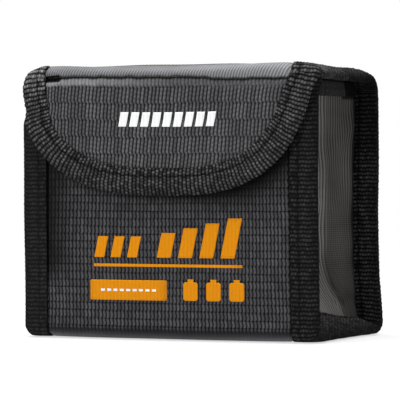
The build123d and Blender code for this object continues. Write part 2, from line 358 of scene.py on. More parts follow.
def drape_side(sign):
    """A side panel, sewn in on three sides, slack and pushed inwards from a soft hollow."""
    y = np.linspace(-SIDE_REACH, SIDE_REACH, int(2 * SIDE_REACH / CLOTH_PITCH))
    z = np.linspace(SIDE_FOOT, front_edge, int(front_top / CLOTH_PITCH))
    grid_y, grid_z = np.meshgrid(y, z)
    rest = np.stack([-hollow(grid_y + sign, grid_z), grid_y, grid_z], axis=-1)
    pinned = (np.abs(grid_y) > 29) | (grid_z < 4)
    move = simulate(rest, pinned, SIDE_PUSH, SIDE_SLACK)
    return Drape(y, z, move[..., 0], SIDE_CAP)


def crease_line(x):
    """Where along the strip the crease at the lid's front runs; it drops at the right."""
    return s_crease + 0.1 + 1.2 * ease(x, 8, 26)


def swell(x, s):
    """How far the cloth between the fins stands out or sinks, outwards positive."""
    across = np.clip(1 - (x / fin_start) ** 2, 0, 1)
    front = hump(s, 62, 26) * ease(s, 30, 46) * 0.4
    back = hump(s, s_bottom + 70, 26) * 0.4
    under = hump(s, front_run - 3, 8) * 1.1 - hump(s, s_bottom, 20) * 0.3
    lid = hump(s, s_crease - 14, 10) * 1.9
    flap = hump(s, s_crease + 13, 9) * 0.35
    flap += 1.1 * ease(s, s_crease + 22, s_end) * ease(x, -20, 35)
    ripple = 0.10 * np.sin(x * 0.19 + s * 0.05 + 1.0) + 0.08 * np.sin(x * 0.07 - s * 0.16)
    lens = ease(-x, fin_start - 8, fin_start - 4)
    free = 1 - ease(np.abs(x), fin_start, fin_start + 2)
    notch = free * (0.5 + 1.5 * lens) * hump(s, crease_line(x), 0.45 + 0.6 * lens)
    return across ** 0.7 * (front + back + under + lid + flap + ripple) - notch


def skirt(x, y, z):
    """How far the cloth beside the bottom seams rises off the table; the fins slope back down."""
    side = np.abs(x)
    tall = 8.2 - 4.6 * ease(y, -26, 26)
    along = ease(y, -27, -8) * (1 - ease(y, 24, 33))
    inside = ease(side, 26, 44)
    outside = 1 - np.clip((side - fin_start) / (tape_width - 1.4), 0, 1) ** 1.2
    crumple = (0.10 + 0.10 * np.sin(0.55 * y + 0.6)) * ease(side, fin_start, half_width)
    return (tall * inside * outside + crumple) * along * (1 - ease(z, 3, 20))


def settle(points):
    """Slow shifts that every piece shares, so that the bag stands as a soft thing does."""
    x, y, z = points[:, 0], points[:, 1], points[:, 2]
    side, sign = np.abs(x), np.sign(x)
    low = 1 - ease(z, 0, 6)
    rear = ease(y, 8, 33)
    front = 1 - ease(y, -31, -14)
    right, left = ease(x, 34, 52), ease(-x, 34, 52)
    wander = 0.35 * np.sin(z * 0.055 + 0.8) + 0.25 * np.sin(y * 0.09 + z * 0.04)
    flare = rear * (0.5 + 0.9 * ease(z, 35, 80) + 1.1 * (1 - ease(z, 2, 24))
                    - 0.7 * ease(z, 82, 95))
    tuck = 1.1 * ease(z, 74, 80) - 0.7 * (1 - ease(z, 74, 80)) + 1.2 * (1 - ease(z, 10, 50))
    slope_in = 2.4 * ease(z, 86, 95) * (1 - ease(y, -10, 30)) * ease(-x, 46, 55)
    ends = 2.0 * (1 - ease(y, -31, -26)) + 1.2 * ease(y, 26, 31)
    corner = ends * (1 - np.sqrt(np.clip(z / 3.6, 0, 1))) * ease(side, 49, 55)
    out = points.copy()
    out[:, 0] += sign * ease(side, 20, 50) * (wander + flare)
    out[:, 0] += left * front * tuck + slope_in + right * front * 1.8 * ease(z, 84, 92)
    out[:, 0] -= sign * corner
    out[:, 1] += (0.25 * np.sin(x * 0.06 + 0.5) + 0.2 * np.sin(z * 0.08 + x * 0.03)) * (1 - low)
    out[:, 2] += 0.25 * np.sin(x * 0.07 + y * 0.05) * ease(z, 20, 80) + skirt(x, y, z)
    out[:, 2] += ease(side, 34, 52) * (0.7 * rear - 0.5 * front) * ease(z, 76, 92)
    out[:, 2] = (out[:, 2] + np.sqrt(out[:, 2] ** 2 + 0.04)) / 2
    return out


def place_strip(x, s, depth):
    """Carries points of the flat strip to where they are sewn."""
    depth = depth + droop(x, s) - swell(x, s) - strip_drape(x, s)
    y, z = (np.interp(s, path_s, path[:, k]) - depth * np.interp(s, path_s, path_normal[:, k])
            for k in (0, 1))
    z = z - np.maximum(s - s_end, 0) + np.maximum(-s, 0)
    return settle(beside(x, y, z))


def hollow(y, z):
    """How far a side panel is drawn in between its fins: a soft V with a flat strip by each fin."""
    kink = 20.0 + 7.0 * (1 - ease(z, 6, 34))
    way = 1 - np.sqrt(y ** 2 + 9.0) / kink
    valley = (way + np.sqrt(way ** 2 + 0.03)) / 2
    deep = 8.0 * (1 - np.exp(-np.maximum(z - SIDE_FOOT, 0) / 9))
    deep = deep * (0.9 + 0.1 * np.sin(z * 0.05 + 0.6))
    creases = 0.16 * np.sin(1.9 * (0.75 * y + 0.66 * z) + 0.4) * hump(y, 19, 6) * hump(z, 13, 9)
    roll = 0.5 * hump(y, 29, 2.5) + 0.35 * np.sin(z * 0.13 + 0.15 * y) * hump(y, 16, 8)
    fold = 0.7 * hump(y, side_fold(z), 1.6)
    return deep * valley + creases - roll - fold


def side_fold(z):
    """Where, front to back, a side panel's rear fold runs; it leans back near the bottom."""
    return SIDE_FOLD + 9.0 * (1 - ease(z, 4, 32))


def side_place(sign):
    """Placing function of a side panel: (y, z, depth) to space."""
    def place(y, z, depth):
        drift = 0.4 * np.sin(z * 0.11 + sign)
        x = sign * (fin_start + 0.3 - hollow(y + drift, z) + side_drape[sign](y, z) - depth)
        return settle(beside(x, y, z))
    return place


strip_drape = drape_strip()
side_drape = {1: drape_side(1), -1: drape_side(-1)}


# ---------------------------------------------------------------- mesh making

def facing_out(vertices, faces):
    """True if the faces of a closed mesh turn outwards, from the sign of its volume."""
    volume = 0.0
    for face in faces:
        face = np.atleast_2d(face)
        for k in range(1, face.shape[1] - 1):
            a, b, c = (vertices[face[:, j]] for j in (0, k, k + 1))
            volume += np.einsum("ij,ij->", a, np.cross(b, c))
    return volume > 0


def make_object(name, vertices, faces, material, extra):
    """A mesh object from millimetre vertices. faces is a list of arrays of quads, and of
    one-dimensional arrays for single many-sided faces; extra holds a vector per vertex for
    the material."""
    vertices = np.asarray(vertices, float)
    if not facing_out(vertices - vertices.mean(axis=0), faces):
        faces = [np.flip(face, axis=-1) for face in faces]
    loops = np.concatenate([np.ravel(face) for face in faces])
    sizes = np.concatenate([np.full(len(face), face.shape[1]) if face.ndim == 2
                            else np.array([len(face)]) for face in faces])
    mesh = bpy.data.meshes.new(name)
    mesh.vertices.add(len(vertices))
    mesh.vertices.foreach_set("co", (vertices * MM).astype(np.float32).ravel())
    mesh.loops.add(len(loops))
    mesh.loops.foreach_set("vertex_index", loops.astype(np.int32))
    mesh.polygons.add(len(sizes))
    mesh.polygons.foreach_set("loop_start", (np.cumsum(sizes) - sizes).astype(np.int32))
    mesh.update(calc_edges=True)
    layer = mesh.attributes.new("flat", "FLOAT_VECTOR", "POINT")
    layer.data.foreach_set("vector", np.asarray(extra, np.float32).ravel())
    mesh.polygons.foreach_set("use_smooth", np.ones(len(sizes), bool))
    mesh.validate()
    mesh.materials.append(material)
    mesh.update()
    return add_object(name, mesh)


def grid_quads(rows, columns, start=0, flip=False, wrap=False):
    """Quads of a grid whose vertex (i, j) is start + i * columns + j."""
    i, j = np.meshgrid(np.arange(rows - 1), np.arange(columns if wrap else columns - 1),
                       indexing="ij")
    k = (j + 1) % columns
    quads = beside(i * columns + j, i * columns + k, (i + 1) * columns + k,
                   (i + 1) * columns + j) + start
    return quads[:, ::-1] if flip else quads


def plain(a, b):
    """Relief and tone of a sheet with no pattern."""
    return np.zeros(a.shape), np.ones(a.shape)


def sheet(name, place, a, b, outer, inner, material, pattern=plain, under=17):
    """A closed sheet over the grid a, b (2-D arrays of flat places) between two depths. Its
    outer side carries the pattern's relief, and its inner side has fewer columns."""
    rows, columns = a.shape
    relief, tone = pattern(a, b)
    upper = place(a.ravel(), b.ravel(), outer - relief.ravel())
    picked = np.unique(np.linspace(0, columns - 1, min(under, columns)).astype(int))
    low_a, low_b = a[:, picked], b[:, picked]
    lower = place(low_a.ravel(), low_b.ravel(), inner)
    size, few = rows * columns, len(picked)
    i = np.arange(rows - 1)
    left = beside(i * columns, (i + 1) * columns, size + (i + 1) * few, size + i * few)
    right = left[:, ::-1] + [few - 1, few - 1, columns - 1, columns - 1]
    faces = [grid_quads(rows, columns), grid_quads(rows, few, size, flip=True), left, right]
    for row, turn in ((0, -1), (rows - 1, 1)):
        for k in range(few - 1):
            top = row * columns + np.arange(picked[k], picked[k + 1] + 1)
            low = size + row * few + np.array([k + 1, k])
            faces.append(np.concatenate([top, low])[::-turn])
    flat = np.concatenate([beside(a, b, tone), beside(low_a, low_b, GRAIN_TONE)])
    return make_object(name, np.concatenate([upper, lower]), faces, material, flat)


def tape_relief(count, along, across, width, fade):
    """Height of the woven tape's cords and knots, and how bright each spot is: a painted
    highlight on the knots and painted shade between the cords and in the stitch grooves; the
    random dimmer dashes are the weave's own. count is the number of cords so far, and fade
    how much darker the tape is at its fold."""
    cord = count + 0.10 * np.sin(along * 0.21) + 0.06 * np.sin(across * 1.7)
    cord_index = np.floor(cord)
    ridge = np.abs(np.sin(math.pi * cord)) ** 0.45
    knot_place = across / KNOT + 0.5 * (cord_index % 2) + 0.10 * np.sin(cord_index * 2.1)
    knot = np.abs(np.cos(math.pi * knot_place)) ** 0.8
    chance = scatter(cord_index, np.floor(knot_place + 0.5))
    tip = width + FIN / 2
    calm = 1 - fade * hump(across, tip, 2.2 + 2 * fade)
    lift = 0.46 * ridge * (0.40 + 0.60 * knot) * calm * (0.8 + 0.4 * chance)
    # painted highlight on the knots, painted shade between the cords
    glow = ridge ** 2.6 * (0.40 + 0.62 * knot) * (0.6 + 0.6 * chance) * calm
    for seam in (STITCH_INSET, 2 * tip - STITCH_INSET):
        groove = hump(across, seam + 0.2 * np.sin(along * 1.3), 0.4) * (0.55 + 0.45 * chance)
        lift = lift - 0.25 * groove
        glow = glow * (1 - 0.75 * groove)
    strip = np.abs(across - tip) > tip - STITCH_INSET
    glow = np.where(strip & (chance < 0.35), 0.7 * glow, glow)
    return lift, glow


def even(value):
    """A function that gives the same value all along a tape."""
    return lambda t: np.full(len(t), value)


def channel(name, place, edge, inward, material, outer=0.0, inner=FIN, width=tape_width,
            phase=0.0, step=0.24, crown=0.35, fade=0.45, finer=even(1.0), shade=even(1.0),
            wear=even(1.0)):
    """Tape folded over an edge. edge holds flat points along the fold and inward the flat
    unit directions from it towards the cloth. finer, shade and wear are functions of the
    length along it: how close the cords lie, how bright they are and how clearly they show."""
    length = run_length(edge)
    count = int(length[-1] / step) + 1
    t = np.linspace(0, length[-1], count)
    edge = taken_at(t, length, edge)
    inward = unit(taken_at(t, length, inward))
    radius = (inner - outer) / 2
    leg = np.linspace(width, radius, int((width - radius) / 0.24) + 1)
    bend = np.linspace(0, math.pi, 14)[1:-1]
    arch = crown * np.sin(math.pi * np.clip((width - leg) / (width - radius), 0, 1)) ** 0.8
    a = np.concatenate([leg, radius - radius * np.sin(bend), leg[::-1]])
    d = np.concatenate([outer - arch, outer + radius - radius * np.cos(bend),
                        inner + arch[::-1]])
    straight_leg = np.ones(len(leg))
    normal_a = np.concatenate([0 * straight_leg, -np.sin(bend), 0 * straight_leg])
    normal_d = np.concatenate([-straight_leg, -np.cos(bend), straight_leg])
    across = run_length(beside(a, d))
    half_back = np.array([width, (width + radius) / 2, TAPE + 0.15])
    back_a = np.concatenate([half_back, half_back[::-1]])
    back_d = np.repeat([inner - TAPE, outer + TAPE], len(half_back))
    along = t + phase
    cords = np.concatenate([[0], np.cumsum(np.diff(along) * finer(along)[1:])]) + phase
    lift, glow = tape_relief(cords[:, None] / CORD, along[:, None], across[None, :], width, fade)
    clear = wear(along)[:, None]
    lift, glow = lift * clear, (glow * clear + 0.45 * (1 - clear)) * shade(along)[:, None]
    all_a = np.concatenate([a + lift * normal_a, np.tile(back_a, (count, 1))], axis=1)
    all_d = np.concatenate([d + lift * normal_d, np.tile(back_d, (count, 1))], axis=1)
    columns = all_a.shape[1]
    x = edge[:, :1] + inward[:, :1] * all_a
    s = edge[:, 1:] + inward[:, 1:] * all_a
    points = place(x.ravel(), s.ravel(), all_d.ravel())
    bright = np.concatenate([glow, np.full((count, len(back_a)), GRAIN_TONE)], axis=1)
    flat = beside(np.repeat(t, columns), np.tile(np.concatenate([across, back_a]), count),
                  bright)
    faces = [grid_quads(count, columns, wrap=True), np.arange(columns)[::-1],
             np.arange(columns) + (count - 1) * columns]
    return make_object(name, points, faces, material, flat)


def stitches(name, place, line, material, depth, facing=-1, pitch=STITCH, thick=0.24):
    """Separate stitches, each a small rounded bar, along a line of flat points."""
    length = run_length(line)
    count = int(length[-1] / pitch)
    around, rings = 8, 7
    angle = np.linspace(0, 2 * math.pi, around, endpoint=False)
    u = np.linspace(-1, 1, rings)
    swell_along = np.sqrt(np.clip(1 - np.abs(u) ** 3, 0.02, 1))
    bar_t = np.repeat(u, around) * pitch * 0.43
    bar_a = np.outer(swell_along, np.cos(angle)).ravel() * thick
    bar_h = np.outer(swell_along, np.sin(angle)).ravel() * thick
    bar_h += np.repeat(0.10 * (1 - u ** 2) - 0.05, around)
    centres = (np.arange(count) + 0.5) * length[-1] / count
    t = (centres[:, None] + bar_t[None, :]).ravel()
    side = np.tile(bar_a, count)
    tx, ts = taken_at(t, length, unit(np.gradient(line, length, axis=0))).T
    x, s = taken_at(t, length, line).T
    x, s = x - ts * side, s + tx * side
    points = place(x, s, depth + facing * np.tile(bar_h, count))
    size = around * rings
    shift = np.arange(count)[:, None] * size
    sides = grid_quads(rings, around, wrap=True)
    faces = [(sides[None] + shift[:, :, None]).reshape(-1, 4),
             np.arange(around)[::-1] + shift, np.arange(size - around, size) + shift]
    return make_object(name, points, faces, material, beside(t, side, 0.0))


# ---------------------------------------------------------------- materials

class Nodes:
    """Short calls for building a shader tree."""

    def __init__(self, name):
        self.material = bpy.data.materials.new(name)
        self.material.use_nodes = True
        self.tree = self.material.node_tree
        self.shader = self.tree.nodes["Principled BSDF"]

    def link(self, value, socket):
        if isinstance(value, (int, float)):
            socket.default_value = value
        elif isinstance(value, tuple):
            socket.default_value = (*value, 1.0) if len(socket.default_value) == 4 else value
        else:
            self.tree.links.new(value, socket)

    def node(self, kind, inputs=(), **settings):
        """Adds a node, sets it up and feeds its inputs, and gives its outputs."""
        node = self.tree.nodes.new("ShaderNode" + kind)
        for key, value in settings.items():
            setattr(node, key, value)
        for key, value in dict(inputs).items():
            self.link(value, node.inputs[key])
        return node.outputs

    def math(self, kind, *values):
        return self.node("Math", enumerate(values), operation=kind)[0]

    def fit(self, value, factor, plus):
        return self.math("MULTIPLY_ADD", value, factor, plus)

    def flat(self):
        """The three values that the mesh carries: its flat place in millimetres, and a tone."""
        carried = self.node("Attribute", attribute_name="flat")["Vector"]
        return self.node("SeparateXYZ", {0: carried})

    def place(self):
        return self.node("TexCoord")["Object"]

    def noise(self, scale, detail=2.0):
        inputs = {"Scale": scale, "Detail": detail, "Vector": self.place()}
        return self.node("TexNoise", inputs)["Fac"]

    def wave(self, a, pitch_a, b=0.0, pitch_b=0.0):
        """A sine of a sum of two values, each times its own factor."""
        return self.math("SINE", self.fit(a, pitch_a, self.math("MULTIPLY", b, pitch_b)))

    def mix(self, factor, a, b):
        return self.node("Mix", {"Factor": factor, 6: a, 7: b}, data_type="RGBA",
                         clamp_factor=False)[2]

    def bump(self, value, millimetres, under=None):
        inputs = {"Strength": 1.0, "Distance": millimetres * MM, "Height": value}
        if under is not None:
            inputs["Normal"] = under
        return self.node("Bump", inputs)[0]

    def finish(self, color, roughness, normal=None, **more):
        self.link(color, self.shader.inputs["Base Color"])
        self.link(roughness, self.shader.inputs["Roughness"])
        if normal is not None:
            self.link(normal, self.shader.inputs["Normal"])
        for key, value in more.items():
            self.link(value, self.shader.inputs[key.replace("_", " ")])
        return self.material


def times(factor, color):
    return tuple(factor * c for c in color)


def cloth_material(name, dark, light, roughness, specular):
    """Coated cloth: the mesh carries the ribs' shape and tone, and the nodes its grain and wear."""
    n = Nodes(name)
    _, _, tone = n.flat()
    spot = n.noise(90.0, 3.0)
    grain = n.noise(2600.0, 2.0)
    worn = n.fit(spot, 0.5, n.fit(grain, 0.3, 0.6))
    shade = n.math("MULTIPLY", n.math("POWER", tone, 1.4), worn)
    rough = n.fit(spot, 0.16, roughness - 0.08)
    return n.finish(n.mix(shade, dark, light), rough, n.bump(grain, 0.03),
                    Specular_IOR_Level=specular)


def tape_material(name, dark, light):
    """Woven tape: fibres run across each knot that the mesh holds."""
    n = Nodes(name)
    along, across, tone = n.flat()
    fibre = n.wave(along, 16.0, across, 9.0)
    fuzz = n.noise(1800.0, 3.0)
    spot = n.noise(70.0, 2.0)
    worn = n.fit(fuzz, 0.7, n.fit(spot, 0.5, 0.4))
    shade = n.math("MULTIPLY", n.math("POWER", tone, 1.6), worn)
    normal = n.bump(fibre, 0.02, n.bump(fuzz, 0.08))
    return n.finish(n.mix(shade, dark, light), 0.62, normal, Specular_IOR_Level=0.0)


def thread_material(name, color):
    """Twisted thread."""
    n = Nodes(name)
    t, side, _ = n.flat()
    shade = n.fit(n.wave(t, 14.0, side, 16.0), 0.5, 0.5)
    return n.finish(n.mix(shade, times(0.6, color), color), 0.5, n.bump(shade, 0.05),
                    Sheen_Weight=0.1)


def lining_material(name, color):
    """Plain weave, as a soft check."""
    n = Nodes(name)
    x, s, _ = n.flat()
    turns = 2 * math.pi / LINING_PITCH
    check = n.fit(n.math("MULTIPLY", n.wave(x, turns), n.wave(s, turns)), 0.5, 0.5)
    spot = n.noise(120.0, 3.0)
    tone = n.fit(check, 0.35, n.math("MULTIPLY", spot, 0.5))
    return n.finish(n.mix(tone, times(0.7, color), color), 0.7, n.bump(check, 0.10),
                    Sheen_Weight=0.1)


def ink_material(name, color):
    """Printed ink, a little thin where it bridges the gaps between ribs."""
    n = Nodes(name)
    x, _, _ = n.flat()
    speck = n.noise(1100.0, 3.0)
    rib = n.math("ABSOLUTE", n.wave(x, math.pi / RIB))
    thick = n.fit(rib, 0.35, n.fit(speck, 0.5, 0.4))
    return n.finish(n.mix(thick, times(0.72, color), color), 0.5,
                    n.bump(rib, 0.05, n.bump(speck, 0.03)), Specular_IOR_Level=0.0)


def pile_material(name, color):
    """Hook-and-loop pile."""
    n = Nodes(name)
    fuzz = n.noise(1500.0, 4.0)
    return n.finish(n.mix(fuzz, times(0.4, color), times(1.6, color)), 0.85,
                    n.bump(fuzz, 0.35), Sheen_Weight=0.3)


body_cloth = cloth_material("body_cloth", (0.003, 0.003, 0.0031), (0.100, 0.100, 0.107),
                            0.5, 0.05)
flap_cloth = cloth_material("flap_cloth", (0.004, 0.004, 0.0042), (0.126, 0.126, 0.132),
                            0.5, 0.05)
lid_cloth = cloth_material("lid_cloth", (0.004, 0.004, 0.0042), (0.092, 0.092, 0.098),
                           0.5, 0.1)
side_cloth = cloth_material("side_cloth", (0.010, 0.0097, 0.0095), (0.124, 0.1195, 0.116),
                            0.6, 0.0)
# The flap's edge and the seams carry one tape; the seams' copy below is painted darker, painted
# shade for the fins, which catch less light than the flap's edge.
lit_tape = tape_material("lit_tape", (0.004, 0.004, 0.004), (0.115, 0.111, 0.113))
shaded_tape = tape_material("shaded_tape", (0.004, 0.004, 0.004), (0.044, 0.0425, 0.043))
thread = thread_material("thread", (0.016, 0.016, 0.0165))
inside = lining_material("lining", (0.45, 0.45, 0.43))
felt = lining_material("felt", (0.6, 0.59, 0.56))
orange = ink_material("orange_ink", (0.68, 0.245, 0.008))
white = ink_material("white_ink", (0.88, 0.88, 0.88))
pile = pile_material("hook_loop", (0.03, 0.03, 0.033))


# ---------------------------------------------------------------- cloth

def ribs(x, s, cell, lean, back, dip, crowd, uneven):
    """Height, 0 to 1, of leaning ribs that kink back at each cross line, and their tone. back
    is the share of a cell that the kink takes, and dip how far the ribs sink there. The ribs
    crowd together towards the right, and uneven is how much each of them varies along it.
    The tone follows the height: a painted highlight on the ribs' tops and painted shade in
    the grooves and where the ribs sink; its spread from rib to rib and along them is the
    cloth's own."""
    row = s / cell + 0.04 * np.sin(x * 0.13)
    index = np.floor(row)
    within = row - index
    saw = np.where(within < 1 - back, within / (1 - back), (1 - within) / back)
    phase = x / RIB + crowd * x ** 2 + lean * (saw - 0.5) + 0.09 * np.sin(s * 0.17 + x * 0.05)
    ridge = np.abs(np.sin(math.pi * phase))
    knot = 1 - np.clip(cell * np.sin(math.pi * within), 0, 1)
    number = np.floor(phase)
    chance = scatter(number, index)
    high = ridge ** (0.8 + 0.8 * knot) * (1 - dip * knot)
    # painted highlight on the tops, painted shade in the grooves and where the ribs sink
    tone = ridge ** (1.6 + 2.4 * knot) * (1 - 1.3 * dip * knot) * (0.80 + 0.35 * chance)
    parting = ease(ridge, 0.90, 1.0)
    turns = np.sin(2 * math.pi * (s / SEGMENT + scatter(number, 7)))
    return high, tone * (1.06 - STRAND_GAP * parting) * (1 + uneven * turns)


def under_fins(x):
    """Depth that takes cloth under the tape at the fins."""
    return 0.75 * ease(np.abs(x), fin_start - 1.6, fin_start + 0.2)


def flap_gap(x, s):
    """Distance on the front from the closed flap's outline, negative under the flap."""
    down = np.clip(s - (front_edge - crease_z), 0.1, front_run)
    power = np.where(x > 0, RIGHT_POWER, LEFT_POWER)
    wide = half_width - np.where(x > 0, RIGHT_TAPER, LEFT_TAPER) * down
    drop, side = crease_z - flap_low, np.abs(x)
    level = (side / wide) ** power + (down / drop) ** power - 1
    slope_x = power * side ** (power - 1) / wide ** power
    slope_s = power * down ** (power - 1) / drop ** power
    return level / np.hypot(slope_x, slope_s)


def body_pattern(x, s):
    """Ribs between cross lines, with a plain band along the front's bottom fold, paler towards
    its lower edge and with a line of painted shade in the crease at its upper edge. Painted
    shadow darkens the cloth close to the flap's outline, most of all at the right where the
    flap stands off, and beside the left fin below the flap."""
    high, tone = ribs(x, s, CELL, -0.25, 0.3, 0.45, 0.0005, 0.06)
    band_start = front_edge - FOLD_BAND
    band = ease(s, band_start, band_start + 1.0) * (1 - ease(s, front_run + 4, front_run + 7))
    high = high * (1 - band) + (0.7 + 0.1 * high) * band
    paleness = 0.16 + 0.10 * tone + 1.05 * ease(s, band_start + 0.4, front_run - 1.0)
    tone = tone * (1 - band) + paleness * band
    # painted shade in the crease along the band's upper edge
    tone = tone * (1 - 0.3 * hump(s, band_start + 0.4, 0.6))
    # painted shadow under the flap's outline, and beside the left fin below the flap
    rightwards = ease(x, 5, 34)
    near = hump(np.maximum(flap_gap(x, s), 0) / (1.9 + 3.6 * rightwards), 0, 1)
    dark = near * (0.45 + 0.25 * ease(x, -25, 10) + 0.27 * rightwards)
    beside = 0.84 * (1 - ease(x, -fin_start - 1, -fin_start + 14))
    above = 1 - ease(s, front_top - 26, front_top - 14)
    tone = tone * (1 - dark * (s < front_run)) * (1 - beside * above)
    return RIB_HEIGHT * (high - 1) - under_fins(x), tone


def flap_pattern(x, s):
    """Kinked ribs on the flap. The lid's front lip is painted pale, a painted reflection of the
    bright surroundings at its grazing slope, the crease and the gape at its left end are
    painted dark as shade, and the cloth's turned edge shows as a smoother band just below it."""
    high, tone = ribs(x, s, FLAP_CELL, 0.38, 0.14, 0.10, 0.0, 0.20)
    hatch = np.sin(math.pi * (x / LIP_RIB + (s - s_crease) / LIP_LEAN)) ** 2
    line = crease_line(x) + 0.22 * np.sin(x * 0.9) * np.sin(x * 0.23 + 1)
    lip = 1 - ease(s, line - 0.8, line + 0.4)
    # painted reflection on the lid's front lip, with the weave's hatch in it
    pale = lip * ease(s, s_crease - 11, s_crease - 6)
    high = high * (1 - pale) + (0.6 + 0.4 * hatch) * pale
    tone = tone * (1 - pale) + (0.72 + 0.74 * hatch) * (1 + 0.2 * ease(x, 0, 25)) * pale
    fold = ease(s, line + 0.2, line + 0.8) * (1 - ease(s, line + 2.0, line + 3.6))
    tone = tone * (1 - 0.45 * fold) + (0.42 + 0.75 * (1 - ease(x, -38, 10))) * fold
    # painted shade in the crease and in the gape at the left
    long_crease = 0.9 * hump(s, line, 0.50)
    gape = 1.5 * ease(-x, fin_start - 8, fin_start - 6)
    notch = ease(gape - np.abs(s - s_crease - 0.3), 0, 0.4)
    tone = tone * (1 - 0.97 * np.maximum(long_crease, notch))
    return RIB_HEIGHT * (high - 1) - under_fins(x), tone


def side_pattern(y, z):
    """Fine upright ribs of the side panels' thinner cloth, which fan out along the rear fold,
    and cross threads that show behind it. Behind the fold, more so low down, the cloth is
    darkened with painted shade; the top rear corner lies in the dark, as painted shade, and a
    thin painted shadow runs beside the rear fin."""
    fold = side_fold(z)
    follow = (fold - SIDE_FOLD) * (0.5 + 0.5 * ease(y, -6, 30))
    ridge = np.abs(np.sin(math.pi * ((y - follow) / SIDE_RIB + 0.08 * np.sin(z * 0.4)))) ** 0.9
    line = np.abs(np.sin(math.pi * z / SIDE_THREAD)) ** 0.7
    low = 1 - ease(z, 14, 34)
    behind = ease(y + 3 * low, fold - 2.0, fold + 1.5)
    crossed = behind * (1 - ease(z, 35, 60))
    high = ridge * (0.8 + 0.2 * line)
    tone = high * (1 - crossed) + (0.45 * line + 0.35 * high) * crossed
    shaded_corner = ease(y, 23.0, 24.0) * ease(z, 83.5, 84.5)
    patches = 1 + 0.10 * np.sin(0.3 * y + 0.05 * z) * np.sin(0.09 * z - 0.06 * y + 1)
    fin_gap_shadow = 0.6 * hump(y, 30.2, 1.1)
    # painted shade behind the fold and low down, in the top rear corner and beside the rear fin
    shade = (1 - (0.34 + 0.16 * low) * behind) * (1 - 0.85 * shaded_corner) * (1 - fin_gap_shadow) * patches
    return 0.20 * (high - 1), (0.15 + 1.2 * tone) * shade


def strip_grid(s_start, s_stop, left, right, step, across=0.25):
    """A grid over a stretch of the strip; left and right are its reach, a width or one per row."""
    rows = int((s_stop - s_start) / step) + 2
    s = np.linspace(s_start, s_stop, rows)
    left, right = (np.broadcast_to(w(s) if callable(w) else w, s.shape) for w in (left, right))
    columns = int((left.max() + right.max()) / across) + 1
    t = np.linspace(0, 1, columns)
    x = -left[:, None] + (left + right)[:, None] * t[None, :]
    return x, np.repeat(s[:, None], columns, axis=1)


# The two folds: the bodies they join, and where the band that bends starts and ends.
LIP_BAND = 2.1          # half the width and height of the slanting band at the lid's front
BACK_BAND = ((0, 17.0), (6.0, 1.0))     # forward of the back and below the top, at each end
FOLDS = {
    "back": ("bag", "lid", *(np.array([0, half_depth - ahead, height - below]) * MM
                             for ahead, below in BACK_BAND)),
    "lip": ("lid", "flap", *(np.array([0, lip_y + way, crease_z + way]) * MM
                             for way in (LIP_BAND, -LIP_BAND)))}


def carry(obj, node, by):
    """Hides the CAD node that a piece stands for, and hangs the piece on its body; a piece
    named for a fold is baked in place.
    """
    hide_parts(node)
    if by in FOLDS:
        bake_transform(obj)
    else:
        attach(obj, by)


def flap_side(side):
    """Reach of the flap's cloth, left or right, as a function of s."""
    return lambda s: np.minimum(under_tape, flap_reach(s, FLAP_INSET, side) + 0.01)


under_tape = half_width - FLAP_INSET
body_run = 0.0, s_back_top
lid_run = s_back_top, s_mid_lid
flap_run = s_mid_lid, s_end - FLAP_INSET


def make_cloth():
    """Outer cloth of body, lid and flap."""
    for node, run, left, right, step, material, pattern, slot, by in (
            ("body_shell", body_run, under_tape, under_tape, 0.42, body_cloth, body_pattern,
             "body_cloth", "bag"),
            ("lid_shell", lid_run, under_tape, under_tape, 0.42, lid_cloth, body_pattern,
             "lid_cloth", "back"),
            ("flap_shell", flap_run, flap_side(-1), flap_side(1), 0.36, flap_cloth,
             flap_pattern, "body_cloth", "lip")):
        x, s = strip_grid(*run, left, right, step)
        cloth = sheet(f"{node}_cloth", place_strip, x, s, *CLOTH_LAYER, material, pattern)
        carry(cloth, node, by)


def side_grid(reach_share, step, across):
    """A grid over a side panel, with rounded lower corners."""
    corner = 3.6
    z = np.linspace(SIDE_FOOT, front_edge, int(90 / step))
    up = np.clip(corner - (z - SIDE_FOOT), 0, corner)
    reach = reach_share * (SIDE_REACH - (corner - np.sqrt(corner ** 2 - up ** 2)))
    y = reach[:, None] * np.linspace(-1, 1, int(2 * SIDE_REACH / across))[None, :]
    return y, np.repeat(z[:, None], y.shape[1], axis=1)


def make_sides():
    """Cloth and lining of the side panels."""
    for label, sign in SIDES:
        place = side_place(sign)
        y, z = side_grid(1.0, 0.26, 0.26)
        web = sheet(f"{label}_gusset_cloth", place, y, z, 0.0, CLOTH, side_cloth,
                    side_pattern, 33)
        carry(web, f"{label}_gusset", "bag")
        y, z = side_grid(0.985, 1.0, 0.8)
        liner = sheet(f"{label}_lining_cloth", place, y, z, CLOTH + 0.1, CLOTH + 0.5, inside,
                      under=99)
        carry(liner, f"{label}_lining", "bag")


def make_insides():
    """Padding and linings of the strip."""
    wall = fin_start - 1.5
    for node, kind, run, left, right, grid, layer, under, material, slot, by in (
            ("body_padding", "felt", body_run, wall, wall, (2.2, 1.9), PAD_LAYER, 99, felt,
             "felt", "bag"),
            ("body_lining", "cloth", body_run, wall, wall, (2.2, 1.9), LINING_LAYER, 99,
             inside, "lining", "bag"),
            ("lid_lining", "cloth", lid_run, under_tape, under_tape, (1.6, 1.9),
             LID_LINING_LAYER, 99, inside, "lining", "back"),
            ("flap_lining", "cloth", flap_run, flap_side(-1), flap_side(1), (0.4, 0.9),
             LID_LINING_LAYER, 199, inside, "lining", "lip")):
        x, s = strip_grid(max(run[0], PAD_START), run[1], left, right, *grid)
        layer_piece = sheet(f"{node}_{kind}", place_strip, x, s, *layer, material, under=under)
        carry(layer_piece, node, by)


# ---------------------------------------------------------------- tape and stitches

def straight(start, stop, x, inward_x):
    """Edge points and inward directions of a fin between two places on the strip."""
    s = np.linspace(start, stop, 200)
    return beside(x, s), beside(inward_x, 0 * s)


